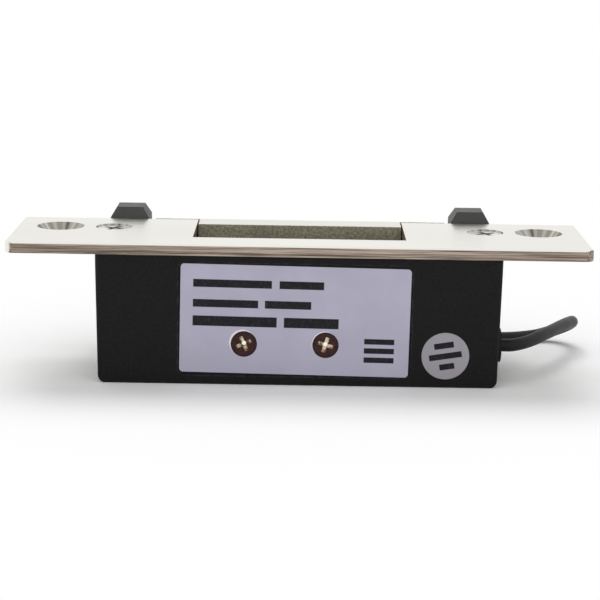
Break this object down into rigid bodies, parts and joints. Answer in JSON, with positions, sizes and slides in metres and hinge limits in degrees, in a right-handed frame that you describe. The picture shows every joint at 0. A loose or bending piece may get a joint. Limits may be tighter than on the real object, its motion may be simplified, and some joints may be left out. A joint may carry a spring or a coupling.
{
  "type": "electric strike",
  "caption": "Electric strike with a flat faceplate, a pivoting keeper, an inner solenoid lock and a side-entry lead.",
  "frame": {"origin": "centre of the box of the part without its lead, at the base of the body", "axes": "+X along the faceplate to the lead's end, +Y from the labelled side to the keeper side, +Z from the base of the body to the faceplate"},
  "size_m": [0.1267, 0.083, 0.0326],
  "materials": {
    "plate_steel": "brushed stainless steel",
    "screw_steel": "plain zinc-plated steel",
    "black_casting": "black painted die casting, semi-gloss",
    "black_cover": "black painted sheet steel",
    "keeper_casting": "dull plated casting with a fine grain",
    "spring_steel": "spring wire",
    "frame_steel": "plated steel",
    "bobbin_plastic": "moulded nylon",
    "coil_copper": "enamelled copper wire",
    "maroon_screw": "dark coated screw",
    "board": "circuit board",
    "diode_black": "moulded",
    "lead_jacket": "black soft plastic jacket",
    "grommet_rubber": "black rubber",
    "label_film": "satin silver film",
    "sticker_film": "printed paper",
    "core_plastic": "insulated core"
  },
  "bodies": {
    "body": {"faceplate": "plate_steel", "plate_screws": "screw_steel", "housing": "black_casting", "base_cover": "black_cover", "cover_screws": "screw_steel", "keeper_shaft": "screw_steel", "keeper_spring": "spring_steel", "solenoid_frame": "frame_steel", "bobbin": "bobbin_plastic", "coil": "coil_copper", "pole_core": "screw_steel", "plunger_spring": "spring_steel", "lever_pin": "screw_steel", "lever_clip": "spring_steel", "face_screws": "maroon_screw", "terminal_board": "board", "diode": "diode_black", "inner_lead": "lead_jacket", "grommet": "grommet_rubber", "label": "label_film", "round_sticker": "sticker_film", "lead_tube": "lead_jacket", "lead_coil": "lead_jacket", "lead_cores": "core_plastic"},
    "keeper": {"keeper": "keeper_casting"},
    "plunger": {"plunger": "screw_steel"},
    "lever": {"lock_lever": "keeper_casting"}
  },
  "joints": [
    {"name": "keeper_swing", "type": "hinge", "parent": "body", "child": "keeper", "pos_m": [0, 0.0107, 0.008], "axis": [-1, 0, 0], "range_deg": [0, 38], "stiffness_Nm_per_rad": 0.04, "springref_deg": -28.65, "deforming": ["keeper_spring"]},
    {"name": "plunger_slide", "type": "slide", "parent": "body", "child": "plunger", "axis": [-1, 0, 0], "range_m": [0, 0.003], "stiffness_N_per_m": 150, "springref_m": -0.004, "deforming": ["plunger_spring"]},
    {"name": "lever_turn", "type": "hinge", "parent": "body", "child": "lever", "pos_m": [0.02075, -0.0019, 0.008], "axis": [0, 0, -1], "range_deg": [0, 22.7]}
  ],
  "couplings": [
    {"joint": "lever_turn", "follows": "plunger_slide", "rad_per_m": 131.6}
  ]
}
